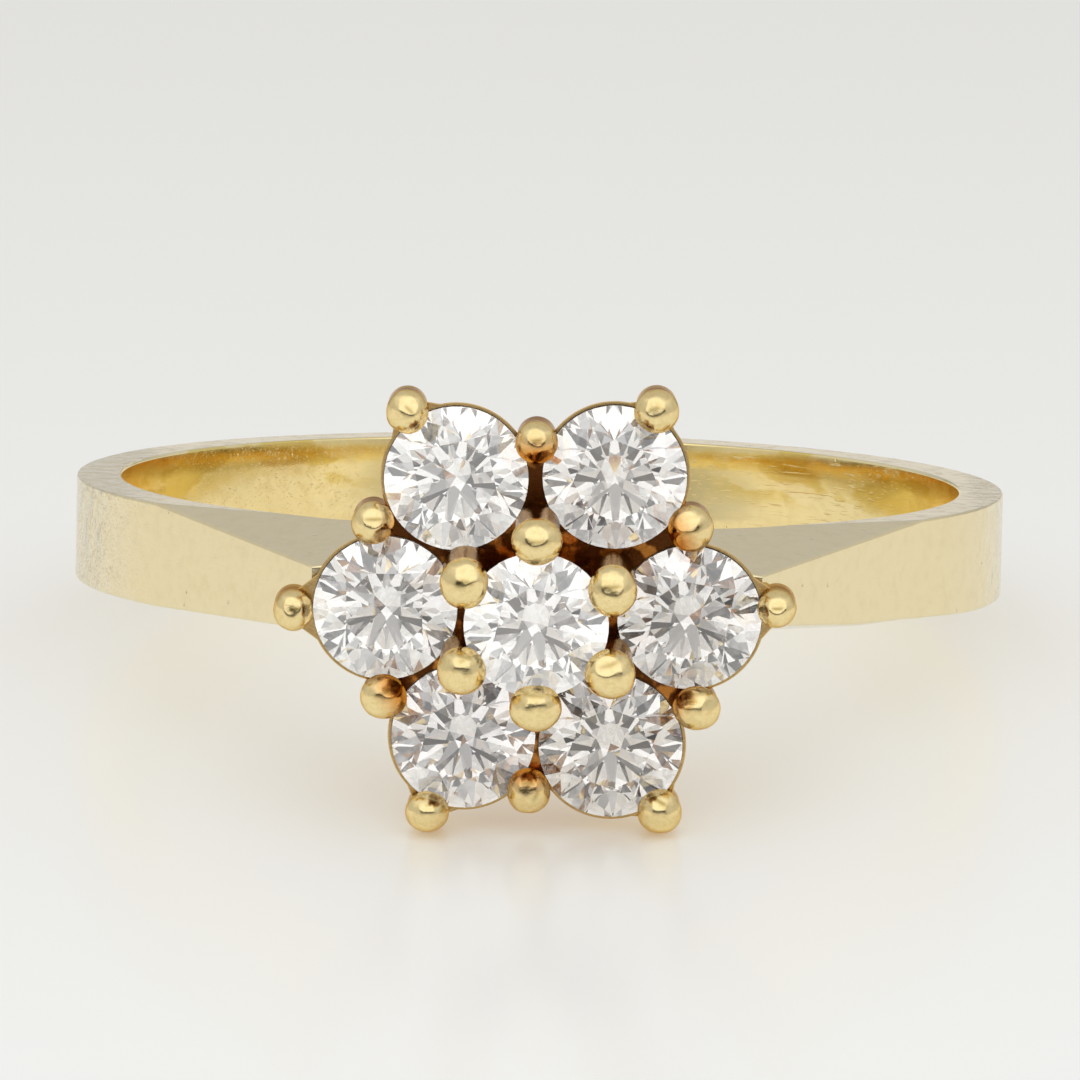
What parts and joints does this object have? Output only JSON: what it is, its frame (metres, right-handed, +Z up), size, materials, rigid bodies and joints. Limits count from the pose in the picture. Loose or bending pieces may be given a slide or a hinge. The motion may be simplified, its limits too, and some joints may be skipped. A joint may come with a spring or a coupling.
{
  "type": "cluster ring",
  "caption": "Flower cluster ring lying on its side: plain band with bevelled shoulders, raised round brilliant inside a circle of petal brilliants, ball-topped prongs, open finger hole.",
  "frame": {"origin": "on the floor under the middle of the ring's box, as the ring lies on its side", "axes": "+Z up from the floor, -Y the way the flower head looks, +X to the right as seen from in front of the head"},
  "size_m": [0.0192, 0.0234, 0.0089],
  "materials": {
    "yellow_gold": "polished 18 carat yellow gold with fine wear scratches",
    "diamond": "polished flat facets"
  },
  "bodies": {
    "root": {"shank_and_setting": "yellow_gold", "centre_stone": "diamond", "petal_stone_right": "diamond", "petal_stone_top_right": "diamond", "petal_stone_top_left": "diamond", "petal_stone_left": "diamond", "petal_stone_bottom_left": "diamond", "petal_stone_bottom_right": "diamond"}
  },
  "joints": []
}
